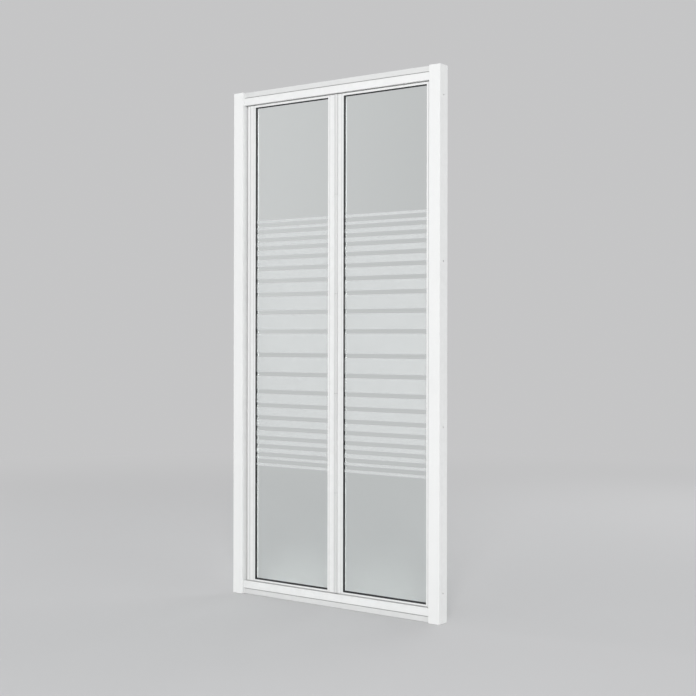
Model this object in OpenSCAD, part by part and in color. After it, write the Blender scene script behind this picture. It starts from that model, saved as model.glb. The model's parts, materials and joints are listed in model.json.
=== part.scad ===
// Bifold shower door: a white framed door of two hinged glass leaves.
// X runs along the opening, +Y into the shower, +Z up.
// The origin is the middle of the door's footprint, on the tray.

/* [Frame] */
// Overall width, from wall to wall
door_w = 900; // [800:10:1000]
// Overall height
door_h = 1850; // [1750:10:2000]
// Depth of the wall profiles, front to back
frame_d = 48; // [48:1:60]
// Width of the face of each wall profile
wall_face_w = 43; // [42:1:50]
// Wall thickness of the wall profiles
wall_t = 2; // [2:0.1:2.5]
// Length of the jamb's legs inside the wall profile
jamb_leg = 31; // [26:1:33]
// Number of screw holes in each wall profile
wall_holes = 4; // [3:1:6]

/* [Rails] */
// Height of the top and bottom rails
rail_h = 47; // [46:1:52]
// Front face of the rails, behind the middle plane of the frame
rail_front = -14; // [-15:0.5:-13]
// Back face of the rails
rail_back = 17; // [17:0.5:19]
// Height of the recessed outer band on the rail's face
rail_band = 19; // [16:1:22]
// Width of the slot that the pins pass through
rail_slot = 11; // [11:0.5:12]

/* [Leaves] */
// Thickness of a leaf's frame
leaf_t = 22; // [22:1:22]
// Middle plane of the leaves, where the pivot and the guide run
leaf_y = 7; // [7:0.5:7]
// Gap between the leaves and the rails
leaf_gap = 2.5; // [2:0.5:3]
// Gap between the leaves and the jambs
side_gap = 1.5; // [1.5:0.1:2]
// Visible width of the pivot stile
pivot_stile_w = 42.5; // [40:0.5:46]
// Visible width of the left leaf's hinge stile
hinge_stile_left_w = 36; // [30:0.5:40]
// Visible width of the right leaf's hinge stile
hinge_stile_right_w = 29.5; // [28:0.5:40]
// Visible width of the leading stile
leading_stile_w = 20; // [20:0.5:24]
// Height of the leaves' top and bottom members
member_h = 8; // [8:0.5:12]

/* [Glass] */
// Thickness of the panes
glass_t = 5; // [4:0.5:6]
// Width of rubber that shows round each pane
gasket_show = 3; // [2:0.5:4]
// Clear gap between frosted bands
clear_gap = 15; // [10:1:18]
// Height of the widest frosted band, in the middle of the pane
middle_band = 70; // [50:5:80]

/* [Hinge and guides] */
// Centre hinge, to the right of the door's middle
hinge_x = 9.5; // [0:0.5:12]
// Radius of the hinge barrel
barrel_r = 7; // [7:0.1:7.2]
// Radius of the hinge pin
hinge_pin_r = 3; // [2.5:0.1:3]
// Number of knuckles along the barrel, odd
knuckles = 5; // [3:2:9]
// Radius of the pivot pins
pivot_pin_r = 5; // [4:0.5:5]
// Radius of the guide pins
guide_pin_r = 3; // [2.5:0.1:3]
// Guide pin, back from the leading edge
guide_inset = 9; // [9:0.1:9.5]
// Most that the left leaf swings, in degrees
swing_max = 84; // [70:1:84]

/* [Hidden] */
$fn = 48;

white = [0.95, 0.96, 0.96];
clear_glass = [0.72, 0.84, 0.82, 0.35];
frost = [0.93, 0.95, 0.95, 0.8];
rubber = [0.12, 0.12, 0.13];
clear_vinyl = [0.80, 0.84, 0.85, 0.7];
nylon = [0.88, 0.88, 0.85];
steel = [0.68, 0.70, 0.72];

// Frame
half_w = door_w / 2;
half_d = frame_d / 2;
jamb_x = half_w - wall_face_w;
jamb_half_d = half_d - wall_t - 0.2;
jamb_t = 1.6;
jamb_face_t = 2;
cap_t = 2;
wall_hole_r = 2.75;
wall_hole_end = 100;
wall_hole_step = (door_h - 2 * wall_hole_end) / (wall_holes - 1);
jamb_screw_zs = [150, door_h / 2, door_h - 150];
jamb_screw_x = jamb_x + 18;
corner_screw_r = 1.75;
lip_y = 14.6;
lip_w = 4.8;

// Leaf levels
leaf_z0 = rail_h + leaf_gap;
leaf_z1 = door_h - leaf_z0;
cap_plate = 1;
stile_z0 = leaf_z0 + cap_plate;
stile_z1 = leaf_z1 - cap_plate;
leaf_front = leaf_y - leaf_t / 2;
leaf_back = leaf_y + leaf_t / 2;

// Kinematics: pivot, centre hinge and guide make an isosceles triangle
leading_x = jamb_x - side_gap;
guide_x = leading_x - guide_inset;
pivot_x = 2 * hinge_x - guide_x;
hinge_y = leaf_front - 0.5;
arm = guide_x - hinge_x;
offset_y = leaf_y - hinge_y;
fold_reach = 2 * (arm * cos(swing_max) + offset_y * sin(swing_max));

// Glass edges that show, and the channel that holds the glass
edge_gap = 0.75;
edge_1l = -leading_x + pivot_stile_w;
edge_1r = hinge_x - edge_gap - hinge_stile_left_w;
edge_2l = hinge_x + edge_gap + hinge_stile_right_w;
edge_2r = leading_x - leading_stile_w;
channel_y0 = leaf_front + 2.5;
channel_y1 = leaf_back - 6.5;
channel_depth = 5.5;
glass_bite = 4.5;
glass_y0 = (channel_y0 + channel_y1 - glass_t) / 2;
glass_y1 = glass_y0 + glass_t;
member_base = 2.5;
glass_z0 = leaf_z0 + member_base + 1;
glass_z1 = door_h - glass_z0;
skin_t = 1.8;
chamber_u = channel_depth + 1.4;

// Leaf assembly screws run along X into a port behind the glass
screw_y = channel_y1 + 3.25;
screw_z = leaf_z0 + member_h / 2;
screw_r = 1.8;
screw_head_r = 2.6;
screw_head_t = 2;
screw_reach = 22;
fit = 0.15;

// Pivot stile
nose_r = leaf_t / 2;
nose_u = pivot_stile_w - nose_r;
pivot_u = edge_1l - pivot_x;
web_u0 = 26;
web_u1 = 29.2;
plug_h = 38;

// Leading stile
guide_u = leading_stile_w - guide_inset;
lead_chamber_u1 = leading_stile_w - 4.8;
magnet_w = 10;
magnet_d = 3.6;
magnet_y0 = leaf_y - magnet_w / 2;
magnet_mouth = 4.8;
magnet_lip_t = 0.8;
lead_seat = leading_stile_w - magnet_d;

// Centre hinge
cove_r = barrel_r + 0.6;
knuckle_gap = 1;
hinge_z0 = leaf_z0 + 2.5;
hinge_z1 = door_h - hinge_z0;
knuckle_len = (hinge_z1 - hinge_z0 - (knuckles - 1) * knuckle_gap) / knuckles;
bush_r = hinge_pin_r + 1;
bush_len = 25;
bush_flange_t = 0.6;
run_clear = 0.06;
cap_spigot = 8;
seal_groove_y = 12;
seal_groove_w = 4;
seal_groove_d = 2.5;
seal_end = 70;
seal_end_gap = 0.5;
function hinge_seat(w) = w - 7;

// Rail section, in the bottom rail's own levels
channel_w = 16;
rail_wall = 2;
slot_z0 = rail_h - 3;
track_z0 = 18;
port_r = 4.8;
port_y = rail_front + 6.5;
port_zs = [10, 38];

// Pivot block and bush
block_h = slot_z0 - track_z0 - 0.2;
bush_out_r = 6.5;
bush_floor_z = 26;

// Guide shoe, short enough to clear the jamb when the door is shut
shoe_half = 9.6;
shoe_stop_gap = 0.8;
block_x1 = pivot_x + fold_reach - shoe_half - shoe_stop_gap;
shoe_r = channel_w / 2 - 0.3;
shoe_z0 = 26;
shoe_z1 = slot_z0 - 0.4;

// Frosted bands, widest in the middle and thinner towards both ends
half_bands = [55, 50, 35, 30, 25, 20, 15, 15, 10, 10];
frost_t = 0.2;

// ---------- shared shapes ----------

module bar(x0, x1, y0, y1, z0, z1) {
    translate([x0, y0, z0]) cube([x1 - x0, y1 - y0, z1 - z0]);
}

module area(x0, x1, y0, y1) {
    translate([x0, y0]) square([x1 - x0, y1 - y0]);
}

module rod_x(y, z, r, x0, x1) {
    translate([x0, y, z]) rotate([0, 90, 0]) cylinder(r = r, h = x1 - x0);
}

module rod_y(x, z, r, y0, y1) {
    translate([x, y1, z]) rotate([90, 0, 0]) cylinder(r = r, h = y1 - y0);
}

module rod_z(x, y, r, z0, z1) {
    translate([x, y, z0]) cylinder(r = r, h = z1 - z0);
}

// Turns a shape made for the bottom over, to the top
module at_top() {
    translate([0, 0, door_h]) mirror([0, 0, 1]) children();
}

module on_right() {
    mirror([1, 0, 0]) children();
}

// A section drawn as (Y, Z) and carried along X
module along_x(x0, x1) {
    translate([x0, 0, 0]) rotate([90, 0, 90]) linear_extrude(x1 - x0) children();
}

// A section drawn with u = 0 at the glass edge and u growing away from the glass
module stile_place(edge, side) {
    translate([edge, 0, 0]) scale_x(side) children();
}

module scale_x(side) {
    if (side > 0) children();
    else mirror([1, 0, 0]) children();
}

// ---------- frame ----------

module wall_profile() {
    color(white)
    difference() {
        linear_extrude(door_h) difference() {
            area(-half_w, -jamb_x, -half_d, half_d);
            area(-half_w + wall_t, -jamb_x + 1, -half_d + wall_t, half_d - wall_t);
        }
        for (i = [0 : wall_holes - 1])
            rod_x(0, wall_hole_end + i * wall_hole_step, wall_hole_r, -half_w - 1, -half_w + wall_t + 1);
        for (z = jamb_screw_zs) jamb_screw_shape(z, 0.1);
    }
}

// One jamb with a pocket in its face for a seal or a magnet; lips can narrow the pocket's mouth
module jamb(pocket_y0, pocket_w, pocket_d, mouth_w, lip_t) {
    pocket_x = -jamb_x - pocket_d;
    mouth_y0 = pocket_y0 + (pocket_w - mouth_w) / 2;
    color(white)
    difference() {
        linear_extrude(door_h - cap_t) difference() {
            union() {
                area(-jamb_x - jamb_face_t, -jamb_x, -jamb_half_d, jamb_half_d);
                for (y = [-jamb_half_d, jamb_half_d - jamb_t])
                    area(-jamb_x - jamb_leg, -jamb_x, y, y + jamb_t);
                area(pocket_x - 1.2, -jamb_x, pocket_y0 - 1.2, pocket_y0 + pocket_w + 1.2);
            }
            area(pocket_x, -jamb_x - lip_t, pocket_y0, pocket_y0 + pocket_w);
            area(pocket_x, -jamb_x + 1, mouth_y0, mouth_y0 + mouth_w);
        }
        for (z = port_zs) {
            rod_x(port_y, z, corner_screw_r + 0.15, -jamb_x - 3, -jamb_x + 1);
            rod_x(port_y, door_h - z, corner_screw_r + 0.15, -jamb_x - 3, -jamb_x + 1);
        }
        for (z = jamb_screw_zs) rod_y(-jamb_screw_x, z, 2, jamb_half_d - 3, jamb_half_d + 1);
    }
}

// Countersunk screw through the back flange, flush with it
module jamb_screw_shape(z, clear) {
    rod_y(-jamb_screw_x, z, 1.9 + clear, half_d - 9, half_d);
    translate([-jamb_screw_x, half_d, z]) rotate([90, 0, 0])
        cylinder(r1 = 3.8 + clear, r2 = 1.9 + clear, h = wall_t);
}

module rail_section() {
    difference() {
        area(rail_front, rail_back, 0, rail_h);
        // recessed outer band and the groove above it
        area(rail_front - 1, rail_front + 1.2, -1, rail_band);
        area(rail_front - 1, rail_front + 1.8, rail_band - 0.1, rail_band + 1.4);
        // front chamber, split by the two screw ports
        difference() {
            area(rail_front + rail_wall + 1, -3, rail_wall, rail_h - rail_wall);
            for (z = port_zs) translate([port_y, z]) circle(r = port_r);
        }
        for (z = port_zs) translate([port_y, z]) circle(r = corner_screw_r + 0.05);
        // chamber under the track
        area(-1, rail_back - rail_wall, rail_wall, track_z0 - rail_wall);
        // track and the slot into it
        area(leaf_y - channel_w / 2, leaf_y + channel_w / 2, track_z0, slot_z0);
        area(leaf_y - rail_slot / 2, leaf_y + rail_slot / 2, slot_z0 - 1, rail_h + 1);
    }
}

module rail_bar() {
    difference() {
        along_x(-jamb_x, jamb_x) rail_section();
        rod_y(-jamb_x + 14, 31, 2.1, rail_back - 5, rail_back + 1);
    }
}

module top_rail() { color(white) at_top() rail_bar(); }

// The bottom rail also has drain slots in its inner wall
module bottom_rail() {
    color(white)
    difference() {
        rail_bar();
        for (x = [-220, -70, 80, 230])
            bar(x, x + 20, rail_back - rail_wall - 1, rail_back + 1, track_z0, track_z0 + 5);
    }
}

module profile_cap() {
    z0 = door_h - cap_t;
    bar(-half_w + wall_t, -jamb_x, -half_d + wall_t, half_d - wall_t, z0, door_h);
    bar(-half_w + 14, -jamb_x - 14, -14, 14, z0 - 8, z0 + 0.1);
}

module profile_caps() {
    color(white) {
        profile_cap();
        on_right() profile_cap();
    }
}

module corner_screw(z) {
    rod_x(port_y, z, corner_screw_r, -jamb_x - 3, -jamb_x + 22);
    rod_x(port_y, z, 2 * corner_screw_r, -jamb_x - jamb_face_t - 2.4, -jamb_x - jamb_face_t);
}

module corner_screws_left() {
    for (z = port_zs) {
        corner_screw(z);
        corner_screw(door_h - z);
    }
}

module corner_screws() {
    color(steel) {
        corner_screws_left();
        on_right() corner_screws_left();
    }
}

module jamb_screws() {
    color(steel)
    for (z = jamb_screw_zs) {
        jamb_screw_shape(z, 0);
        on_right() jamb_screw_shape(z, 0);
    }
}

// Nylon block in the track: it holds the bush, and its tail stops the guide shoe
module pivot_block_shape() {
    difference() {
        bar(-jamb_x + 0.2, block_x1, leaf_y - 7.8, leaf_y + 7.8, track_z0, track_z0 + block_h);
        rod_z(pivot_x, leaf_y, bush_out_r, bush_floor_z, slot_z0 + 1);
        rod_y(-jamb_x + 14, 31, 1.9, leaf_y + 1, leaf_y + 9);
        bar(pivot_x + 22, block_x1 - 12, leaf_y - 4.8, leaf_y + 4.8, track_z0 + 4, slot_z0 + 1);
    }
}

module pivot_block_bottom() { color(nylon) pivot_block_shape(); }
module pivot_block_top() { color(nylon) at_top() pivot_block_shape(); }

// Headless screw through the rail's inner wall into the block, flush with the rail
module pivot_block_screw() {
    rod_y(-jamb_x + 14, 31, 1.9, leaf_y + 1.5, rail_back);
}

module pivot_block_screws() {
    color(steel) {
        pivot_block_screw();
        at_top() pivot_block_screw();
    }
}

// Cup bush: the pin turns in it, and the lower one carries the door on its floor
module pivot_bush_shape() {
    difference() {
        rod_z(pivot_x, leaf_y, bush_out_r - 0.02, bush_floor_z, slot_z0 - 0.2);
        rod_z(pivot_x, leaf_y, pivot_pin_r + run_clear, bush_floor_z + 2, slot_z0 + 1);
    }
}

module pivot_bush_bottom() { color(rubber) pivot_bush_shape(); }
module pivot_bush_top() { color(rubber) at_top() pivot_bush_shape(); }

// Face strip, a neck through the mouth of the pocket, and the foot behind the lips
module jamb_magnet_strip() {
    half = magnet_w / 2 - 0.2;
    neck = magnet_mouth / 2 - 0.2;
    foot_x = jamb_x + magnet_lip_t + 0.1;
    color(rubber)
    translate([0, 0, leaf_z0]) linear_extrude(leaf_z1 - leaf_z0) {
        area(jamb_x - 0.5, jamb_x - 0.02, leaf_y - half, leaf_y + half);
        area(jamb_x - 0.1, foot_x + 0.1, leaf_y - neck, leaf_y + neck);
        area(foot_x, jamb_x + magnet_d - 0.2, leaf_y - half, leaf_y + half);
    }
}

// Base in the jamb's pocket and a fin beside the rounded nose, cut to fit between the rails
module jamb_lip_seal() {
    z0 = rail_h + seal_end_gap;
    color(clear_vinyl)
    translate([0, 0, z0]) linear_extrude(door_h - 2 * z0) {
        area(-jamb_x - 3.4, -jamb_x + 0.4, lip_y + 0.2, lip_y + lip_w - 0.2);
        area(-jamb_x, -jamb_x + 3, lip_y + 2.6, lip_y + 3.6);
    }
}

module wall_profile_left() { wall_profile(); }
module wall_profile_right() { on_right() wall_profile(); }
module jamb_left() { jamb(lip_y, lip_w, 3.6, lip_w, 0); }
module jamb_right() { on_right() jamb(magnet_y0, magnet_w, magnet_d, magnet_mouth, magnet_lip_t); }

// ---------- leaves ----------

// The channel for the glass, the hollow behind it and a fine line on the face
module glazing_cut() {
    area(-1, channel_depth, channel_y0, channel_y1);
    area(1.5, chamber_u + 0.1, channel_y1 + 1.5, leaf_back - skin_t);
    area(7.2, 8, leaf_front - 1, leaf_front + 0.5);
}

module pivot_stile_section() {
    difference() {
        union() {
            area(0, nose_u, leaf_front, leaf_back);
            translate([nose_u, leaf_y]) circle(r = nose_r);
        }
        glazing_cut();
        pivot_chamber();
        area(web_u1, nose_u, leaf_front + skin_t, leaf_back - skin_t);
        intersection() {
            translate([nose_u, leaf_y]) circle(r = nose_r - skin_t);
            area(nose_u - 0.1, pivot_stile_w, leaf_front, leaf_back);
        }
        // groove that sets off the rounded nose
        area(web_u0 + 0.8, web_u1 - 0.8, leaf_front - 1, leaf_front + 1.4);
    }
}

module pivot_chamber() {
    area(chamber_u, web_u0, leaf_front + skin_t, leaf_back - skin_t);
}

// Both hinge stiles share this section; the hinge axis is at u = w + edge_gap
module hinge_stile_section(w, seal) {
    difference() {
        area(0, w, leaf_front, leaf_back);
        glazing_cut();
        hinge_chamber(w);
        area(w - 6.6, w - 3.7, leaf_y - 1, leaf_back - skin_t);
        translate([w + edge_gap, hinge_y]) circle(r = cove_r);
        if (seal) area(w - seal_groove_d, w + 1, seal_groove_y, seal_groove_y + seal_groove_w);
    }
}

module hinge_chamber(w) {
    area(chamber_u, w - 9, leaf_front + skin_t, leaf_back - skin_t);
}

module lead_chamber() {
    area(chamber_u, lead_chamber_u1, leaf_front + skin_t, leaf_back - skin_t);
}

// The leading edge has rounded corners and a pocket for the magnet
module leading_stile_section() {
    w = leading_stile_w;
    difference() {
        union() {
            area(0, w - 4, leaf_front, leaf_back);
            area(0, w, leaf_front + 3, leaf_back - 4);
            translate([w - 3, leaf_front + 3]) circle(r = 3);
            translate([w - 4, leaf_back - 4]) circle(r = 4);
        }
        glazing_cut();
        lead_chamber();
        area(w - magnet_d, w + 1, magnet_y0, magnet_y0 + magnet_w);
    }
}

// Hole and counterbore for a leaf screw whose head sits at u = seat
module screw_hole(z, seat, w) {
    rod_x(screw_y, z, screw_r + 0.1, -1, seat + 1);
    rod_x(screw_y, z, screw_head_r + 0.2, seat, w + 1);
}

module screw_holes(seat, w) {
    screw_hole(screw_z, seat, w);
    screw_hole(door_h - screw_z, seat, w);
}

module leaf_screw(z, seat) {
    rod_x(screw_y, z, screw_r, -screw_reach, seat + 0.1);
    rod_x(screw_y, z, screw_head_r, seat, seat + screw_head_t);
}

module leaf_screw_pair(seat) {
    leaf_screw(screw_z, seat);
    leaf_screw(door_h - screw_z, seat);
}

module pivot_stile() {
    color(white) stile_place(edge_1l, -1)
    difference() {
        translate([0, 0, stile_z0]) linear_extrude(stile_z1 - stile_z0) pivot_stile_section();
        screw_holes(web_u1, pivot_stile_w);
    }
}

module leading_stile() {
    color(white) stile_place(edge_2r, 1)
    difference() {
        translate([0, 0, stile_z0]) linear_extrude(stile_z1 - stile_z0) leading_stile_section();
        screw_holes(lead_seat, leading_stile_w);
    }
}

// One knuckle: a ring round the hinge axis with a short neck into the stile
module knuckle_section(w) {
    translate([w + edge_gap, hinge_y]) {
        circle(r = barrel_r);
        area(-9.5, -4.6, 1, 5.5);
    }
}

function knuckle_z(i) = hinge_z0 + i * (knuckle_len + knuckle_gap);

// Hinge stile with every second knuckle, from the first or from the second
module hinge_stile(w, first, bore, seal) {
    difference() {
        union() {
            translate([0, 0, stile_z0]) linear_extrude(stile_z1 - stile_z0)
                hinge_stile_section(w, seal);
            for (i = [first : 2 : knuckles - 1])
                translate([0, 0, knuckle_z(i)]) linear_extrude(knuckle_len) knuckle_section(w);
        }
        screw_holes(hinge_seat(w), w);
        rod_z(w + edge_gap, hinge_y, bore, hinge_z0 - 1, hinge_z1 + 1);
    }
}

module hinge_stile_left() {
    color(white) stile_place(edge_1r, 1)
        hinge_stile(hinge_stile_left_w, 0, hinge_pin_r + 0.05, true);
}

module hinge_stile_right() {
    color(white) stile_place(edge_2l, -1)
        hinge_stile(hinge_stile_right_w, 1, bush_r + 0.02, false);
}

module member(x0, x1) {
    difference() {
        along_x(x0, x1) difference() {
            area(leaf_front, leaf_back, leaf_z0, leaf_z0 + member_h);
            area(channel_y0, channel_y1, leaf_z0 + member_base, leaf_z0 + member_h + 1);
        }
        rod_x(screw_y, screw_z, screw_r + 0.05, x0 - 1, x1 + 1);
    }
}

module bottom_member_left() { color(white) member(edge_1l, edge_1r); }
module top_member_left() { color(white) at_top() member(edge_1l, edge_1r); }
module bottom_member_right() { color(white) member(edge_2l, edge_2r); }
module top_member_right() { color(white) at_top() member(edge_2l, edge_2r); }

module pane(x0, x1) {
    color(clear_glass) bar(x0 - glass_bite, x1 + glass_bite, glass_y0, glass_y1, glass_z0, glass_z1);
}

module glass_left() { pane(edge_1l, edge_1r); }
module glass_right() { pane(edge_2l, edge_2r); }

// One endless rubber channel, pushed round the pane's edge
module gasket(x0, x1) {
    g = gasket_show;
    over = glass_bite + 0.8;
    z0 = leaf_z0 + member_h + g;
    color(rubber)
    difference() {
        bar(x0 - over, x1 + over, channel_y0, channel_y1, glass_z0 - 0.8, glass_z1 + 0.8);
        bar(x0 + g, x1 - g, channel_y0 - 1, channel_y1 + 1, z0, door_h - z0);
        bar(x0 - glass_bite, x1 + glass_bite, glass_y0, glass_y1, glass_z0, glass_z1);
    }
}

module glazing_gasket_left() { gasket(edge_1l, edge_1r); }
module glazing_gasket_right() { gasket(edge_2l, edge_2r); }

// Distance from the pane's middle to the near edge of band i of one half
function band_start(i) = i == 0
    ? middle_band / 2 + clear_gap
    : band_start(i - 1) + half_bands[i - 1] + clear_gap;

module frosted_bands(x0, x1) {
    g = gasket_show;
    mid = door_h / 2;
    color(frost) {
        bar(x0 + g, x1 - g, glass_y0 - frost_t, glass_y0, mid - middle_band / 2, mid + middle_band / 2);
        for (i = [0 : len(half_bands) - 1]) {
            a = band_start(i);
            b = a + half_bands[i];
            bar(x0 + g, x1 - g, glass_y0 - frost_t, glass_y0, mid + a, mid + b);
            bar(x0 + g, x1 - g, glass_y0 - frost_t, glass_y0, mid - b, mid - a);
        }
    }
}

module frosted_bands_left() { frosted_bands(edge_1l, edge_1r); }
module frosted_bands_right() { frosted_bands(edge_2l, edge_2r); }

// ---------- leaf hardware ----------

// Plug in the stile's end, with a cover plate of the stile's own outline
module pivot_plug() {
    difference() {
        union() {
            translate([0, 0, leaf_z0]) linear_extrude(cap_plate) {
                area(0, nose_u, leaf_front, leaf_back);
                translate([nose_u, leaf_y]) circle(r = nose_r);
            }
            bar(chamber_u + fit, web_u0 - fit, leaf_front + skin_t + fit, leaf_back - skin_t - fit,
                leaf_z0, leaf_z0 + plug_h);
        }
        rod_z(pivot_u, leaf_y, pivot_pin_r + 0.02, leaf_z0 - 1, leaf_z0 + plug_h - 4);
        rod_x(screw_y, screw_z, screw_r + 0.1, 0, web_u1);
    }
}

module pivot_plug_bottom() { color(nylon) stile_place(edge_1l, -1) pivot_plug(); }
module pivot_plug_top() { color(nylon) at_top() stile_place(edge_1l, -1) pivot_plug(); }

module guide_plug() {
    w = leading_stile_w;
    difference() {
        union() {
            translate([0, 0, leaf_z0]) linear_extrude(cap_plate) {
                area(0, w - 4, leaf_front, leaf_back);
                area(0, w, leaf_front + 3, leaf_back - 4);
                translate([w - 3, leaf_front + 3]) circle(r = 3);
                translate([w - 4, leaf_back - 4]) circle(r = 4);
            }
            bar(chamber_u + fit, lead_chamber_u1 - fit, leaf_front + skin_t + fit,
                leaf_back - skin_t - fit, leaf_z0, leaf_z0 + plug_h);
        }
        rod_z(guide_u, leaf_y, guide_pin_r + 0.02, leaf_z0 - 1, leaf_z0 + plug_h - 4);
        rod_x(screw_y, screw_z, screw_r + 0.1, 0, w);
    }
}

module guide_plug_bottom() { color(nylon) stile_place(edge_2r, 1) guide_plug(); }
module guide_plug_top() { color(nylon) at_top() stile_place(edge_2r, 1) guide_plug(); }

module hinge_stile_cap(w) {
    difference() {
        union() {
            translate([0, 0, leaf_z0]) linear_extrude(cap_plate) difference() {
                area(0, w, leaf_front, leaf_back);
                translate([w + edge_gap, hinge_y]) circle(r = cove_r);
            }
            bar(chamber_u + fit, w - 9 - fit, leaf_front + skin_t + fit, leaf_back - skin_t - fit,
                leaf_z0, leaf_z0 + 18);
        }
        rod_x(screw_y, screw_z, screw_r + 0.1, 0, w);
    }
}

module hinge_stile_caps(w) {
    hinge_stile_cap(w);
    at_top() hinge_stile_cap(w);
}

module hinge_stile_caps_left() {
    color(nylon) stile_place(edge_1r, 1) hinge_stile_caps(hinge_stile_left_w);
}

module hinge_stile_caps_right() {
    color(nylon) stile_place(edge_2l, -1) hinge_stile_caps(hinge_stile_right_w);
}

module leaf_screws_left() {
    color(steel) {
        stile_place(edge_1l, -1) leaf_screw_pair(web_u1);
        stile_place(edge_1r, 1) leaf_screw_pair(hinge_seat(hinge_stile_left_w));
    }
}

module leaf_screws_right() {
    color(steel) {
        stile_place(edge_2l, -1) leaf_screw_pair(hinge_seat(hinge_stile_right_w));
        stile_place(edge_2r, 1) leaf_screw_pair(lead_seat);
    }
}

module pivot_pin_shape() {
    rod_z(pivot_x, leaf_y, pivot_pin_r, bush_floor_z + 2.3, leaf_z0 + plug_h - 4.5);
}

module pivot_pin_bottom() { color(steel) pivot_pin_shape(); }
module pivot_pin_top() { color(steel) at_top() pivot_pin_shape(); }

// The guide pin's head keeps the shoe on it
module guide_pin_shape() {
    rod_z(guide_x, leaf_y, guide_pin_r, shoe_z0 - 2, leaf_z0 + plug_h - 4.5);
    rod_z(guide_x, leaf_y, guide_pin_r + 2, shoe_z0 - 2.4, shoe_z0 - 0.4);
}

module guide_pin_bottom() { color(steel) guide_pin_shape(); }
module guide_pin_top() { color(steel) at_top() guide_pin_shape(); }

module guide_shoe_shape() {
    difference() {
        union() {
            bar(guide_x - shoe_half + shoe_r, guide_x + shoe_half - shoe_r,
                leaf_y - shoe_r, leaf_y + shoe_r, shoe_z0, shoe_z1);
            for (s = [-1, 1])
                rod_z(guide_x + s * (shoe_half - shoe_r), leaf_y, shoe_r, shoe_z0, shoe_z1);
        }
        rod_z(guide_x, leaf_y, guide_pin_r + run_clear, shoe_z0 - 1, shoe_z1 + 1);
    }
}

module guide_shoe_bottom() { color(nylon) guide_shoe_shape(); }
module guide_shoe_top() { color(nylon) at_top() guide_shoe_shape(); }

module hinge_pin() {
    color(steel) rod_z(hinge_x, hinge_y, hinge_pin_r, hinge_z0 + cap_spigot, hinge_z1 - cap_spigot);
}

module hinge_pin_cap() {
    rod_z(hinge_x, hinge_y, barrel_r, hinge_z0 - 2, hinge_z0);
    rod_z(hinge_x, hinge_y, hinge_pin_r, hinge_z0 - 1, hinge_z0 + cap_spigot - 0.5);
}

module hinge_pin_caps() {
    color(white) {
        hinge_pin_cap();
        at_top() hinge_pin_cap();
    }
}

// Flanged sleeve in one end of a knuckle, flange outwards
module hinge_bush(z, up) {
    translate([hinge_x, hinge_y, z]) scale_z(up)
    difference() {
        union() {
            cylinder(r = bush_r, h = bush_len);
            translate([0, 0, -bush_flange_t]) cylinder(r = barrel_r - 0.5, h = bush_flange_t);
        }
        translate([0, 0, -1]) cylinder(r = hinge_pin_r + run_clear, h = bush_len + 2);
    }
}

module scale_z(up) {
    if (up) children();
    else mirror([0, 0, 1]) children();
}

module hinge_bushes() {
    color(rubber)
    for (i = [1 : 2 : knuckles - 1]) {
        hinge_bush(knuckle_z(i), true);
        hinge_bush(knuckle_z(i) + knuckle_len, false);
    }
}

// Soft strip in the left stile's edge that closes the gap behind the barrel
module centre_seal() {
    x1 = hinge_x - edge_gap;
    color(clear_vinyl)
    bar(x1 - seal_groove_d + 0.1, x1 + 0.9, seal_groove_y + 0.1, seal_groove_y + seal_groove_w - 0.1,
        seal_end, door_h - seal_end);
}

// Fin under a leaf that keeps the water on the shower's side
module drip_seal(x0, x1) {
    color(clear_vinyl)
    along_x(x0, x1) {
        area(channel_y1 - 1, leaf_back, leaf_z0 - 0.8, leaf_z0);
        area(leaf_back - 1.4, leaf_back - 0.2, leaf_z0 - 2, leaf_z0);
    }
}

module drip_seal_left() { drip_seal(edge_1l, edge_1r); }
module drip_seal_right() { drip_seal(edge_2l, edge_2r); }

module leading_magnet_strip() {
    color(rubber)
    bar(leading_x - magnet_d + 0.2, leading_x, magnet_y0 + 0.2, magnet_y0 + magnet_w - 0.2,
        seal_end, door_h - seal_end);
}

// ---------- nodes ----------

wall_profile_left();
wall_profile_right();
jamb_left();
jamb_right();
top_rail();
bottom_rail();
profile_caps();
corner_screws();
jamb_screws();
pivot_block_top();
pivot_block_bottom();
pivot_block_screws();
pivot_bush_top();
pivot_bush_bottom();
jamb_magnet_strip();
jamb_lip_seal();
pivot_stile();
hinge_stile_left();
top_member_left();
bottom_member_left();
glass_left();
frosted_bands_left();
glazing_gasket_left();
pivot_plug_top();
pivot_plug_bottom();
pivot_pin_top();
pivot_pin_bottom();
hinge_stile_caps_left();
leaf_screws_left();
hinge_pin();
hinge_pin_caps();
centre_seal();
drip_seal_left();
hinge_stile_right();
leading_stile();
top_member_right();
bottom_member_right();
glass_right();
frosted_bands_right();
glazing_gasket_right();
hinge_bushes();
guide_plug_top();
guide_plug_bottom();
guide_pin_top();
guide_pin_bottom();
hinge_stile_caps_right();
leaf_screws_right();
leading_magnet_strip();
drip_seal_right();
guide_shoe_top();
guide_shoe_bottom();
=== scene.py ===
import json
import math

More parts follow.
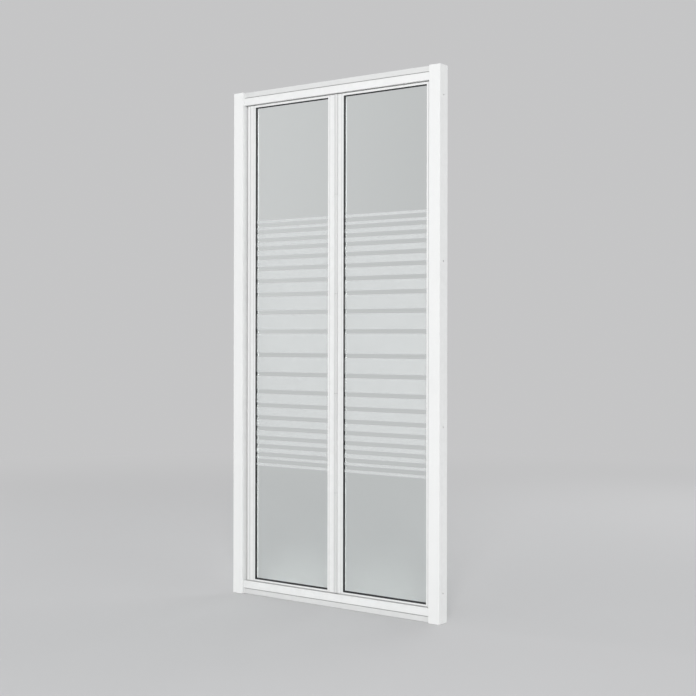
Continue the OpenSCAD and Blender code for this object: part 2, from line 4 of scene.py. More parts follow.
import bmesh
import bpy
import numpy as np
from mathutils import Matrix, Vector


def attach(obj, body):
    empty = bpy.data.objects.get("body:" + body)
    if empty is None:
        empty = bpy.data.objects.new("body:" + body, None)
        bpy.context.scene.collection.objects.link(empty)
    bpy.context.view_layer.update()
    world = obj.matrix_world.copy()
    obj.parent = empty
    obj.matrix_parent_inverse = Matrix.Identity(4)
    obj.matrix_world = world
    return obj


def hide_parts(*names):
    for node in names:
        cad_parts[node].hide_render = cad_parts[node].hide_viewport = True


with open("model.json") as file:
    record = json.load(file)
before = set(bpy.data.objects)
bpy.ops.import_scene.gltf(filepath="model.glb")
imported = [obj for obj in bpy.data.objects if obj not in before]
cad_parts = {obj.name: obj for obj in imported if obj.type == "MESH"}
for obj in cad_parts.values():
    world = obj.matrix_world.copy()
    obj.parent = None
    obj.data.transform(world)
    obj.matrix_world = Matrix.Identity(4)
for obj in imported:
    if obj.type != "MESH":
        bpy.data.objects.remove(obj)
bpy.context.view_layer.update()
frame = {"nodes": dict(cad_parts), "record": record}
nodes = frame["nodes"]
print("frame loaded:", len(nodes), "nodes")

# the door's main sizes in millimetres, the same as the frame's own
door = dict(
    width=900, height=1850, profileFace=43, profileDepth=48,
    railHeight=47, railFront=-14, railBack=17,
    leafFront=-4, leafBack=18, leafFoot=49.5, leafTop=1800.5,
    glassLeft=(-363.0, -27.25), glassRight=(39.75, 385.5),
    paneFront=2.5, paneBack=7.5, paneBite=4.5,
    channelFront=-1.5, channelBack=11.5, channelDepth=5.5,
    hingeX=9.5, hingeY=-4.5, barrel=7.0,
)
millimetre, metre = 0.001, 1000  # a millimetre in metres, and a metre in millimetres
sharpAngle = 35  # degrees between two faces, past which their edge shows sharp


def roundCorners(points, radii, steps=5, guard=0.12, closest=1e-4, flattest=0.999999, shortest=1e-9):
    # each corner turns into an arc that touches both sides, found by turning the first radius into the
    # last one in equal steps; a guard point past each end of the arc keeps the flats flat when shaded;
    # of points that fall together one stays, and a flat corner is held back from dividing by nought
    p = np.asarray(points, float)
    r = np.broadcast_to(np.asarray(radii, float), len(p))[:, None]
    back = np.roll(p, 1, 0) - p
    ahead = np.roll(p, -1, 0) - p
    back /= np.linalg.norm(back, axis=1, keepdims=True)
    ahead /= np.linalg.norm(ahead, axis=1, keepdims=True)
    half = np.arccos(np.clip((back * ahead).sum(1, keepdims=True), -flattest, flattest)) / 2
    reach = r / np.tan(half)
    middle = back + ahead
    middle /= np.maximum(np.linalg.norm(middle, axis=1, keepdims=True), shortest)
    centre = p + middle * r / np.sin(half)
    first, last = p + back * reach - centre, p + ahead * reach - centre
    sweep = (np.pi - 2 * half)[:, None]
    w = np.linspace(0, 1, steps + 1)[None, :, None]
    arc = (np.sin((1 - w) * sweep) * first[:, None] + np.sin(w * sweep) * last[:, None]) / np.sin(sweep)
    arc += centre[:, None]
    hold = guard * (r > 0)
    before, after = p + back * (reach + hold), p + ahead * (reach + hold)
    loop = np.concatenate([before[:, None], arc, after[:, None]], 1).reshape(-1, 2)
    keep = np.linalg.norm(loop - np.roll(loop, 1, 0), axis=1) > closest
    return counterClockwise(loop[keep])


def counterClockwise(loop):
    # twice the signed area of the loop says which way round it runs
    x, y = loop[:, 0], loop[:, 1]
    area = np.sum(x * np.roll(y, -1) - np.roll(x, -1) * y)
    return loop if area > 0 else loop[::-1]


def corners(left, right, low, high):
    # the four corners of a rectangle, in order
    return [(left, low), (right, low), (right, high), (left, high)]


def insetLoop(loop, amount, sharpest=0.3):
    # every point moves inwards along the mean of its two sides' normals, by the same square distance;
    # the sharpest corners move less far
    side = np.roll(loop, -1, 0) - loop
    side /= np.linalg.norm(side, axis=1, keepdims=True)
    out = np.stack([side[:, 1], -side[:, 0]], 1)
    before = np.roll(out, 1, 0)
    mean = (out + before) / np.maximum(1 + (out * before).sum(1, keepdims=True), sharpest)
    return loop - mean * amount


def ringFaces(rings, count, closed=False):
    # quads between each ring of points and the next
    a = np.arange(count)
    b = (a + 1) % count
    n = rings if closed else rings - 1
    base = (np.arange(n) * count)[:, None]
    over = (((np.arange(n) + 1) % rings) * count)[:, None]
    return np.stack([base + a, base + b, over + b, over + a], -1).reshape(-1, 4).tolist()


def place(across, along, axis):
    # a section point and a distance along the axis give a point in space
    a, b = across[..., 0], across[..., 1]
    s = np.broadcast_to(along, a.shape)
    order = {"x": (s, a, b), "y": (a, s, b), "z": (a, b, s)}[axis]
    return np.stack(order, -1)


def stacked(rings, stops, axis):
    # rings of one section at their distances along an axis, joined by quads and closed at both ends
    points = place(rings, stops[:, None], axis).reshape(-1, 3)
    n, last = rings.shape[1], len(points)
    return points, ringFaces(len(rings), n) + [list(range(n))[::-1], list(range(last - n, last))]


def carried(loop, axis, start, end, ease=0.25, guard=0.15):
    # a section carried along an axis; its ends step in by the ease, so that each cut edge is broken
    stops = np.array([start, start + ease, start + ease + guard, end - ease - guard, end - ease, end])
    small = insetLoop(loop, ease)
    return stacked(np.stack([small, loop, loop, loop, loop, small]), stops, axis)


def turned(outline, sides, centre, axis, closed=False):
    # a radius and a height for each point of the outline, turned round the axis in equal steps
    line = np.asarray(outline, float)
    turn = np.linspace(0, 2 * np.pi, sides, endpoint=False)
    ring = np.stack([np.cos(turn), np.sin(turn)], 1)
    points = place(line[:, None, :1] * ring[None], line[:, 1:2], axis).reshape(-1, 3)
    return points + np.asarray(centre, float), ringFaces(len(line), sides, closed)


def framed(section, edges):
    # a section of (inwards from the glass edge, depth) carried round a rectangle, mitred at its corners
    corner = np.array(corners(*edges), float)
    inward = np.array([[1, 1], [-1, 1], [-1, -1], [1, -1]], float)
    s = np.asarray(section, float)
    across = corner[:, None, :] + inward[:, None, :] * s[None, :, :1]
    points = place(across, s[None, :, 1], "y").reshape(-1, 3)
    return points, ringFaces(len(corner), len(s), closed=True)


def merged(parts):
    # several shapes in one list of points and faces
    points, faces, seen = [], [], 0
    for p, f in parts:
        points.append(p)
        faces += [[k + seen for k in face] for face in f]
        seen += len(p)
    return np.concatenate(points), faces


def flipped(shape, axis, about):
    # a copy turned over about a plane: one coordinate becomes twice the plane's place less itself
    points, faces = shape
    out = points.copy()
    out[:, "xyz".index(axis)] = 2 * about - out[:, "xyz".index(axis)]
    return out, faces


def otherSide(shape):
    # the right-hand copy of a left-hand shape
    return flipped(shape, "x", 0)


def otherEnd(shape):
    # the copy at the top of a shape at the foot
    return flipped(shape, "z", door["height"] / 2)


def makeMesh(name, shape, double=1e-6, sliver=1e-7):
    # millimetres become metres, doubles close, slivers go, and every shell's faces turn outwards
    points, faces = shape
    mesh = bpy.data.meshes.new(name)
    mesh.from_pydata((points * millimetre).tolist(), [], faces)
    work = bmesh.new()
    work.from_mesh(mesh)
    bmesh.ops.remove_doubles(work, verts=work.verts, dist=double)
    bmesh.ops.dissolve_degenerate(work, edges=work.edges, dist=sliver)
    bmesh.ops.recalc_face_normals(work, faces=work.faces)
    work.to_mesh(mesh)
    work.free()
    finishShading(mesh)
    return mesh


def finishShading(mesh):
    # smooth all over, but sharp where two faces meet at more than the sharp angle
    mesh.polygons.foreach_set("use_smooth", np.ones(len(mesh.polygons), bool))
    mesh.set_sharp_from_angle(angle=math.radians(sharpAngle))
    mesh.update()


def addPiece(name, shape, body, slotName, stands, cutters=None, hollows=None, finish=None):
    # a new piece in place: its mesh, its body, its finish, and the nodes that it stands for
    piece = bpy.data.objects.new(name, makeMesh(name, shape))
    bpy.context.scene.collection.objects.link(piece)
    if cutters is not None:
        cutAway(piece, cutters)
    # the painted shade, where given, goes on the piece's points
    if hollows is not None:
        markPaintedShade(piece.data, hollows)
    piece.data.materials.append(finish or finishes[slotName])
    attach(piece, body)
    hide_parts(*stands)


def addToLeaf(name, side, shape, slotName, node, **more):
    # a piece of the left or the right leaf, with its side in its name, its body and its node
    addPiece(name + side, shape, side.lower() + "_leaf", slotName, [node + "_" + side.lower()], **more)


def markPaintedShade(mesh, hollows):
    # painted shade: how deep a point lies in a groove or a recess, from 0 to 1, which darkens the coat's tone
    # there
    co = np.empty(len(mesh.vertices) * 3, np.float32)
    mesh.vertices.foreach_get("co", co)
    share = mesh.attributes.new("hollow", "FLOAT", "POINT")
    share.data.foreach_set("value", np.clip(hollows(co.reshape(-1, 3) * metre), 0, 1).astype(np.float32))


def cutAway(piece, cutters):
    # the cutters are one closed mesh, taken out of the piece by an exact boolean
    tool = bpy.data.objects.new("tool", makeMesh("tool", cutters))
    bpy.context.scene.collection.objects.link(tool)
    cut = piece.modifiers.new("cut", "BOOLEAN")
    cut.operation, cut.solver, cut.object = "DIFFERENCE", "EXACT", tool
    bpy.context.view_layer.update()
    done = bpy.data.meshes.new_from_object(piece.evaluated_get(bpy.context.evaluated_depsgraph_get()))
    piece.modifiers.clear()
    piece.data = done
    bpy.data.objects.remove(tool)
    finishShading(done)


def makeGroup(name, inputs, outputs):
    # a shader group with named sockets: an input's value says whether it is a colour, a vector or a number
    group = bpy.data.node_groups.new(name, "ShaderNodeTree")
    for label, value in inputs.items():
        kind = {3: "Vector", 4: "Color"}[len(value)] if isinstance(value, tuple) else "Float"
        socket = group.interface.new_socket(label, in_out="INPUT", socket_type="NodeSocket" + kind)
        socket.default_value = value
    for label, kind in outputs.items():
        group.interface.new_socket(label, in_out="OUTPUT", socket_type="NodeSocket" + kind)
    return group, group.nodes.new("NodeGroupInput").outputs, group.nodes.new("NodeGroupOutput")


def feed(tree, node, sources):
    # each socket gets a link from another one, or a value of its own
    for key, source in sources.items():
        if isinstance(source, bpy.types.NodeSocket):
            tree.links.new(source, node.inputs[key])
        else:
            node.inputs[key].default_value = source


def add(tree, kind, sources=None, **settings):
    # one node, with its settings and what feeds it
    node = tree.nodes.new("ShaderNode" + kind)
    for key, value in settings.items():
        setattr(node, key, value)
    feed(tree, node, sources or {})
    return node


def spread(tree, value, low, high, toLow=0.0, toHigh=1.0, kind="SMOOTHSTEP"):
    # maps one range of a value onto another, held at both ends
    ranges = {"From Min": low, "From Max": high, "To Min": toLow, "To Max": toHigh}
    return add(tree, "MapRange", {"Value": value, **ranges}, interpolation_type=kind).outputs["Result"]


def maths(tree, kind, a, b=0.0):
    # the sum, difference, product, quotient, lesser or greater of two numbers
    return add(tree, "Math", {0: a, 1: b}, operation=kind).outputs[0]


def tint(tree, share, first, second):
    # a blend of two colours by a share; a mix node's colours are its sockets 6 and 7
    return add(tree, "Mix", {0: share, 6: first, 7: second}, data_type="RGBA").outputs[2]


def ownPlace(tree):
    # a point's place in the piece's own coordinates, in metres
    return add(tree, "TexCoord").outputs["Object"]


def noise(tree, at, scale, detail=2.0, roughness=0.5, distortion=0.0, output="Fac"):
    # soft random cells, so many to a metre, with finer and fainter ones on top for each step of detail
    values = {"Scale": scale, "Detail": detail, "Roughness": roughness, "Distortion": distortion}
    return add(tree, "TexNoise", {"Vector": at, **values}).outputs[output]


def bumps(tree, height, strength, distance):
    # a surface that leans as if the height were really there
    return add(tree, "Bump", {"Height": height, "Strength": strength, "Distance": distance}).outputs["Normal"]


wholeSurface = dict(Colour="Color", Roughness="Float", Normal="Vector")  # what two of the groups put out


def makePeelGroup():
    # sprayed and stoved coat: fine dimples, long soft waves, a broad uneven tone and specks of dust
    tree, given, out = makeGroup(
        "coatPeel", dict(Colour=(0.8, 0.8, 0.8, 1), Shade=(0.7, 0.7, 0.7, 1), Dimples=700.0, Depth=0.1,
                         Roughness=0.3, Uneven=0.06), wholeSurface)
    at = ownPlace(tree)
    dimple = noise(tree, at, given["Dimples"], 3.0, 0.6)
    wave = noise(tree, at, 55.0)
    broad = noise(tree, at, 3.2, 4.0, 0.55)
    speck = noise(tree, at, 1500.0, 1.0)
    height = maths(tree, "ADD", dimple, maths(tree, "MULTIPLY", wave, 0.8))
    normal = bumps(tree, height, given["Depth"], 0.0002)
    tone = spread(tree, broad, 0.35, 0.7, toHigh=0.35)
    dust = spread(tree, speck, 0.66, 0.74, toHigh=0.25)
    colour = tint(tree, maths(tree, "MAXIMUM", tone, dust), given["Colour"], given["Shade"])
    rough = spread(tree, wave, 0.3, 0.7, -0.5, 0.5, "LINEAR")
    rough = maths(tree, "ADD", maths(tree, "MULTIPLY", rough, given["Uneven"]), given["Roughness"])
    feed(tree, out, dict(Colour=colour, Roughness=rough, Normal=normal))
    return tree


def makeRubGroup():
    # edges that hands and cloths reach first: a mask on convex edges, broken up by noise
    tree, given, out = makeGroup("edgeRub", dict(Amount=0.5, Patches=40.0), dict(Mask="Float"))
    edge = spread(tree, add(tree, "NewGeometry").outputs["Pointiness"], 0.51, 0.56)
    patch = noise(tree, ownPlace(tree), given["Patches"], 3.0)
    worn = maths(tree, "MULTIPLY", edge, spread(tree, patch, 0.4, 0.62))
    feed(tree, out, dict(Mask=maths(tree, "MULTIPLY", worn, given["Amount"])))
    return tree


def makeDropGroup():
    # dried drops: a faint rim round scattered cells, stronger towards the foot of the door
    tree, given, out = makeGroup("driedDrops", dict(Drops=90.0, Amount=0.3, Reach=0.9), dict(Mask="Float"))
    at = ownPlace(tree)
    wobble = noise(tree, at, 160.0, output="Color")
    push = add(tree, "VectorMath", {0: wobble, "Scale": 0.003}, operation="SCALE").outputs[0]
    moved = add(tree, "VectorMath", {0: at, 1: push}, operation="ADD").outputs[0]
    cell = add(tree, "TexVoronoi", {"Vector": moved, "Scale": given["Drops"], "Randomness": 1.0}).outputs
    away = cell["Distance"]
    rim = maths(tree, "MULTIPLY", spread(tree, away, 0.12, 0.2), spread(tree, away, 0.24, 0.2))
    some = spread(tree, add(tree, "SeparateColor", {"Color": cell["Color"]}).outputs[0], 0.72, 0.8)
    high = add(tree, "SeparateXYZ", {"Vector": at}).outputs["Z"]
    low = spread(tree, maths(tree, "DIVIDE", high, given["Reach"]), 1.0, 0.0, 0.15, 1.0, "LINEAR")
    mask = maths(tree, "MULTIPLY", maths(tree, "MULTIPLY", rim, some), low)
    feed(tree, out, dict(Mask=maths(tree, "MULTIPLY", mask, given["Amount"])))
    return tree


def makeDrawnGroup():
    # drawn or extruded stock: fine lines along one direction, for rubber, vinyl, magnet strip and steel
    tree, given, out = makeGroup(
        "drawnLines", dict(Along=(900.0, 900.0, 8.0), Depth=0.2, Colour=(0.1, 0.1, 0.1, 1),
                           Shade=(0.05, 0.05, 0.05, 1), Roughness=0.5, Uneven=0.15), wholeSurface)
    at = add(tree, "VectorMath", {0: ownPlace(tree), 1: given["Along"]}, operation="MULTIPLY").outputs[0]
    line = noise(tree, at, 1.0, 3.0, 0.65)
    broad = noise(tree, ownPlace(tree), 24.0, 3.0)
    normal = bumps(tree, line, given["Depth"], 0.0001)
    share = maths(tree, "MULTIPLY", line, spread(tree, broad, 0.3, 0.7, 0.4, 1.0))
    colour = tint(tree, share, given["Colour"], given["Shade"])
    rough = maths(tree, "MULTIPLY", maths(tree, "SUBTRACT", line, 0.5), given["Uneven"])
    rough = maths(tree, "ADD", rough, given["Roughness"])
    feed(tree, out, dict(Colour=colour, Roughness=rough, Normal=normal))
    return tree


groups = dict(peel=makePeelGroup(), rub=makeRubGroup(), drops=makeDropGroup(), drawn=makeDrawnGroup())


def newFinish(name):
    # an empty material: its shader feeds its output
    finish = bpy.data.materials.new(name)
    finish.use_nodes = True
    tree = finish.node_tree
    tree.nodes.clear()
    out = tree.nodes.new("ShaderNodeOutputMaterial")
    shader = tree.nodes.new("ShaderNodeBsdfPrincipled")
    feed(tree, out, dict(Surface=shader.outputs[0]))
    return finish, tree, shader


def blendShaders(tree, share, first, second):
    # a blend of two shaders by a share takes the place of what feeds the material's output
    mix = add(tree, "MixShader", {0: share, 1: first.outputs[0], 2: second.outputs[0]}).outputs[0]
    feed(tree, tree.get_output_node("ALL"), dict(Surface=mix))


def useGroup(tree, which, **values):
    # a group placed in a material, with the material's own values on its sockets
    node = tree.nodes.new("ShaderNodeGroup")
    node.node_tree = groups[which]
    feed(tree, node, values)
    return node.outputs


def coatFinish(name, look):
    # powder coat or moulded nylon, with rubbed edges, a few dried drops near the foot, and painted shade that
    # darkens its hollows
    finish, tree, shader = newFinish(name)
    peel = useGroup(tree, "peel", Colour=look["colour"], Shade=look["shade"], Dimples=look["dimples"],
                    Depth=look["depth"], Roughness=look["roughness"], Uneven=look["uneven"])
    rub = useGroup(tree, "rub", Amount=look["rub"])["Mask"]
    drops = useGroup(tree, "drops", Amount=look["drops"], Reach=0.5)["Mask"]
    marks = maths(tree, "MAXIMUM", rub, drops)
    # painted shade: the attribute read here takes the coat towards its deep colour in grooves, recesses and
    # on the barrel
    deep = add(tree, "Attribute", attribute_name="hollow").outputs["Fac"]
    coat = tint(tree, marks, peel["Colour"], look["worn"])
    colour = tint(tree, deep, coat, look["deep"])
    rough = maths(tree, "ADD", peel["Roughness"], maths(tree, "MULTIPLY", drops, look["dropRough"]))
    feed(tree, shader, {"Base Color": colour, "Roughness": rough, "Normal": peel["Normal"],
                        "Specular IOR Level": look["shine"]})
    return finish


def drawnFinish(name, look):
    # rubber, vinyl, magnet strip and steel share their drawn lines
    finish, tree, shader = newFinish(name)
    drawn = useGroup(tree, "drawn", Along=look["along"], Depth=look["depth"], Colour=look["colour"],
                     Shade=look["shade"], Roughness=look["roughness"], Uneven=look["uneven"])
    rub = useGroup(tree, "rub", Amount=look["rub"], Patches=120.0)["Mask"]
    colour = tint(tree, rub, drawn["Colour"], look["worn"])
    feed(tree, shader, {"Base Color": colour, "Roughness": drawn["Roughness"], "Normal": drawn["Normal"],
                        "Metallic": look.get("metal", 0.0), "Transmission Weight": look.get("clear", 0.0),
                        "IOR": look.get("ior", 1.5), "Specular IOR Level": look.get("shine", 0.5)})
    return finish


def glassFinish(name, look):
    # float glass with a faint green cast, dulled a little by wiped marks and drops; its shadow is pale
    finish, tree, shader = newFinish(name)
    at = add(tree, "Mapping", {"Vector": ownPlace(tree), "Scale": look["wipes"]}).outputs["Vector"]
    wipe = noise(tree, at, 1.0, 5.0, 0.6, 0.8)
    drops = useGroup(tree, "drops", Drops=look["drops"], Amount=1.0, Reach=1.4)["Mask"]
    smear = spread(tree, wipe, 0.55, 0.8, toHigh=look["smear"])
    rough = maths(tree, "ADD", smear, maths(tree, "MULTIPLY", drops, look["dropRough"]))
    rough = maths(tree, "ADD", rough, look["roughness"])
    colour = tint(tree, drops, look["colour"], look["dropColour"])
    feed(tree, shader, {"Base Color": colour, "Roughness": rough, "Transmission Weight": 1.0,
                        "IOR": look["ior"]})
    through = add(tree, "BsdfTransparent", {"Color": look["shadow"]})
    blendShaders(tree, add(tree, "LightPath").outputs["Is Shadow Ray"], shader, through)
    return finish


def frostFinish(name, look):
    # a fired-on satin print: pale, finely grained, and partly see-through
    finish, tree, shader = newFinish(name)
    at = ownPlace(tree)
    grain = noise(tree, at, look["grain"])
    cloud = noise(tree, at, look["clouds"], 4.0)
    colour = tint(tree, cloud, look["colour"], look["shade"])
    cover = spread(tree, grain, 0.3, 0.7, *look["cover"])
    rough = spread(tree, grain, 0.3, 0.7, *look["roughness"])
    normal = bumps(tree, grain, look["depth"], 0.0001)
    feed(tree, shader, {"Base Color": colour, "Alpha": cover, "Roughness": rough, "Normal": normal})
    return finish


# a coat's deep colour is the painted shade that its grooves, recesses and barrel go towards
looks = dict(
    white_coat=dict(
        colour=(0.86, 0.865, 0.86, 1), shade=(0.80, 0.805, 0.80, 1), worn=(0.70, 0.705, 0.70, 1),
        deep=(0.42, 0.425, 0.42, 1), dimples=620.0, depth=0.10, roughness=0.33, uneven=0.08, rub=0.16,
        drops=0.10, dropRough=0.3, shine=0.5),
    white_nylon=dict(
        colour=(0.80, 0.80, 0.78, 1), shade=(0.72, 0.72, 0.69, 1), worn=(0.60, 0.60, 0.57, 1),
        deep=(0.40, 0.40, 0.38, 1), dimples=380.0, depth=0.18, roughness=0.46, uneven=0.12, rub=0.25,
        drops=0.05, dropRough=0.3, shine=0.4),
    grey_nylon=dict(
        colour=(0.30, 0.305, 0.31, 1), shade=(0.24, 0.245, 0.25, 1), worn=(0.42, 0.42, 0.42, 1),
        deep=(0.12, 0.12, 0.12, 1), dimples=420.0, depth=0.2, roughness=0.48, uneven=0.12, rub=0.3,
        drops=0.0, dropRough=0.3, shine=0.4),
    black_rubber=dict(
        colour=(0.022, 0.022, 0.024, 1), shade=(0.05, 0.05, 0.052, 1), worn=(0.09, 0.09, 0.09, 1),
        along=(520.0, 520.0, 520.0), depth=0.35, roughness=0.56, uneven=0.2, rub=0.4, shine=0.3),
    magnet_strip=dict(
        colour=(0.52, 0.53, 0.54, 1), shade=(0.43, 0.44, 0.45, 1), worn=(0.34, 0.35, 0.36, 1),
        along=(900.0, 900.0, 12.0), depth=0.2, roughness=0.44, uneven=0.15, rub=0.3),
    clear_vinyl=dict(
        colour=(0.85, 0.88, 0.88, 1), shade=(0.76, 0.80, 0.80, 1), worn=(0.88, 0.90, 0.90, 1),
        along=(500.0, 500.0, 10.0), depth=0.2, roughness=0.28, uneven=0.2, rub=0.2, clear=0.75, ior=1.42),
    stainless_steel=dict(
        colour=(0.60, 0.61, 0.62, 1), shade=(0.48, 0.49, 0.50, 1), worn=(0.72, 0.72, 0.72, 1),
        along=(1200.0, 1200.0, 60.0), depth=0.25, roughness=0.32, uneven=0.18, rub=0.4, metal=1.0),
    clear_glass=dict(
        colour=(0.925, 0.955, 0.945, 1), dropColour=(0.86, 0.88, 0.88, 1), shadow=(0.92, 0.95, 0.94, 1),
        wipes=(5.0, 5.0, 1.6), roughness=0.0, smear=0.012, dropRough=0.12, drops=70.0, ior=1.5),
    frosted_print=dict(
        colour=(0.84, 0.86, 0.86, 1), shade=(0.77, 0.79, 0.79, 1), grain=2400.0, clouds=14.0,
        cover=(0.27, 0.36), roughness=(0.5, 0.66), depth=0.25),
)
makers = dict(white_coat=coatFinish, white_nylon=coatFinish, grey_nylon=coatFinish,
              clear_glass=glassFinish, frosted_print=frostFinish)
finishes = {name: makers.get(name, drawnFinish)(name, look) for name, look in looks.items()}
for part in frame["record"]["subparts"]:
    for slot in nodes[part["node"]].material_slots:
        slot.material = finishes[part["material_slot"]]
print("finishes made:", len(finishes))


profile = dict(
    wall=2.0, radii=[0.5, 0.7, 0.4, 0.35, 0.35, 0.4, 0.7, 0.5], sides=32,
    # radius and depth along the fixing holes in the back, and the sinks for the jamb's screws
    hole=[(0, -2), (2.75, -2), (2.75, 1.7), (3.25, 2.2), (3.25, 4), (0, 4)], holeZ=(100, 650, 1200, 1750),
    sink=[(0, -4), (2.0, -4), (2.0, -1.9), (3.9, 0), (3.9, 1), (0, 1)], sinkX=-425, sinkZ=(150, 925, 1700),
)


def wallProfiles():
    # a deep open channel, screwed to the wall, that the jamb slides in
    p, t, d = profile, profile["wall"], door["profileDepth"] / 2
    back = -door["width"] / 2
    mouth = back + door["profileFace"]
    loop = roundCorners([(back, -d), (mouth, -d), (mouth, t - d), (back + t, t - d),
                         (back + t, d - t), (mouth, d - t), (mouth, d), (back, d)], p["radii"])
    shape = carried(loop, "z", 0, door["height"])
    holes = [turned(p["hole"], p["sides"], (back, 0, z), "x") for z in p["holeZ"]]
    sinks = [turned(p["sink"], p["sides"], (p["sinkX"], d, z), "y") for z in p["sinkZ"]]
    cutters = merged(holes + sinks)
    addPiece("wallProfileLeft", shape, "frame", "white_coat", ["wall_profile_left"], cutters=cutters)
    addPiece("wallProfileRight", otherSide(shape), "frame", "white_coat", ["wall_profile_right"],
             cutters=otherSide(cutters))


jamb = dict(
    face=-407.0, half=21.8, leg=-438.0, legWall=1.6, wall=2.0, top=1848.0, frontEdge=0.5, edge=0.3,
    sealPocket=(14.6, 19.4), magnetPocket=(2.0, 12.0), magnetMouth=(4.6, 9.4), mouthLip=0.8,
    # tone is how strong the painted shade on the reveal is, and its end how far behind the leaf's face it
    # reaches
    pocketDepth=3.6, pocketWall=1.2, tone=0.34, paintedShadeEnd=4.0,
    # the corner screws' holes: radius, start and end
    hole=(1.9, -6, 4), holeY=-7.5, holeZ=(10, 38, 1812, 1840), sides=24,
)


def jambs():
    # the reveal beside each leaf, with a pocket for the lip seal on the left and the magnet on the right;
    # each outline runs back along the reveal, round the rear leg, and inside past the pocket to the front leg
    j = jamb
    x, h, leg, wall = j["face"], j["half"], j["leg"], j["pocketWall"]
    lip, inside, floor = x - j["mouthLip"], x - j["wall"], x - j["pocketDepth"]
    shell, inner = floor - wall, h - j["legWall"]
    low, high = j["sealPocket"]
    left = [(x, -h), (x, low), (floor, low), (floor, high), (x, high), (x, h), (leg, h), (leg, inner),
            (shell, inner), (shell, low - wall), (inside, low - wall), (inside, -inner), (leg, -inner),
            (leg, -h)]
    low, high = j["magnetPocket"]
    near, far = j["magnetMouth"]
    right = [(x, -h), (x, near), (lip, near), (lip, low), (floor, low), (floor, high), (lip, high),
             (lip, far), (x, far), (x, h), (leg, h), (leg, inner), (inside, inner), (inside, high + wall),
             (shell, high + wall), (shell, low - wall), (inside, low - wall), (inside, -inner),
             (leg, -inner), (leg, -h)]
    cutters = merged([turned(corners(0, *j["hole"]), j["sides"], (x, j["holeY"], z), "x")
                      for z in j["holeZ"]])
    for side, points in (("Left", left), ("Right", right)):
        radii = [j["frontEdge"]] + [j["edge"]] * (len(points) - 1)
        shape = carried(roundCorners(points, radii, steps=3, guard=0.08), "z", 0, j["top"])
        tools = cutters
        if side == "Right":
            shape, tools = otherSide(shape), otherSide(tools)
        addPiece("jamb" + side, shape, "frame", "white_coat", ["jamb_" + side.lower()], cutters=tools,
                 hollows=revealPaintedShade)


def revealPaintedShade(points):
    # painted shade on the reveal: it greys evenly inwards, from its front edge to just behind the leaf's face
    return np.clip((points[:, 1] + jamb["half"]) / (jamb["half"] + jamb["paintedShadeEnd"]), 0, 1) * jamb["tone"]


rail = dict(
    reach=407.0, band=18.2, bandY=-12.8, grooveTop=20.8, grooveY=-10.9, track=(-1, 15), trackLow=18.0,
    slot=(1.5, 12.5), lipLow=44.0,
    radii=[0.8, 0.8, 0.8, 0.5, 0.4, 0.4, 0.4, 0.4, 0.4, 0.4, 0.5, 0.8, 0.5, 0.2, 0.2, 0.25],
    # how strong the painted shade on the recessed outer band and in the groove is, and how far past their
    # corners it reaches
    bandPaintedShade=0.27, groovePaintedShade=1.0, aside=0.4, behind=0.3, below=0.9, above=0.1,
    drain=(-10, 10, 0, 5), drainRadius=2.2, drainDepth=(-3, 1), drainX=(-210, -60, 90, 240),
    # the pivot block screw's hole: radius, start and end
    hole=(2.05, -5, 1), holeX=-393.0, holeZ=31.0, sides=24,
)


def rails():
    # one section for both rails: a recessed outer band, a groove, the raised inner band and the track
    f, b, h, r = door["railFront"], door["railBack"], door["railHeight"], rail
    (near, far), (front, back) = r["track"], r["slot"]
    foot, lip, top, band = r["trackLow"], r["lipLow"], r["grooveTop"], r["band"]
    loop = roundCorners(
        [(r["bandY"], 0), (b, 0), (b, h), (back, h), (back, lip), (far, lip), (far, foot), (near, foot),
         (near, lip), (front, lip), (front, h), (f, h), (f, top), (r["grooveY"], top), (r["grooveY"], band),
         (r["bandY"], band)], r["radii"])
    shape = carried(loop, "x", -r["reach"], r["reach"], ease=0.15)
    screwHole = turned(corners(0, *r["hole"]), r["sides"], (r["holeX"], b, r["holeZ"]), "y")
    start, end = r["drainDepth"]
    outline = roundCorners(corners(*r["drain"]), r["drainRadius"])
    drains = [carried(outline + [x, foot], "y", b + start, b + end, ease=0.05, guard=0.05)
              for x in r["drainX"]]
    addPiece("bottomRail", shape, "frame", "white_coat", ["bottom_rail"],
             cutters=merged(drains + [screwHole]), hollows=railPaintedShade)
    addPiece("topRail", otherEnd(shape), "frame", "white_coat", ["top_rail"], cutters=otherEnd(screwHole),
             hollows=railPaintedShade)


def railPaintedShade(points):
    # painted shade: the recessed outer band is a little darker than the inner one, and the groove between
    # them is the darkest
    r, y = rail, points[:, 1]
    mid = door["height"] / 2
    z = mid - np.abs(points[:, 2] - mid)
    front = y < r["grooveY"] + r["aside"]
    groove = front & (y > r["bandY"] + r["behind"]) & (z > r["band"] - r["below"])
    band = front & (y > r["bandY"] - r["aside"]) & (z < r["band"] + r["above"])
    return np.where(groove, r["groovePaintedShade"], np.where(band, r["bandPaintedShade"], 0.0))


caps = dict(
    lid=dict(x=(-448.0, -407.0), half=22.0, corner=1.2, z=(1848.0, 1850.0), ease=0.5),
    plug=dict(x=(-436.0, -421.0), half=14.0, corner=1.5, z=(1840.0, 1848.2), ease=0.25),
)


def profileCaps():
    # moulded lids in the tops of the wall profiles, each with a plug below
    parts = []
    for c in caps.values():
        outline = roundCorners(corners(*c["x"], -c["half"], c["half"]), c["corner"])
        parts.append(carried(outline, "z", *c["z"], ease=c["ease"]))
    shape = merged(parts)
    addPiece("profileCaps", merged([shape, otherSide(shape)]), "frame", "white_coat", ["profile_caps"])


wallProfiles()
jambs()
rails()
profileCaps()
print("frame pieces made")


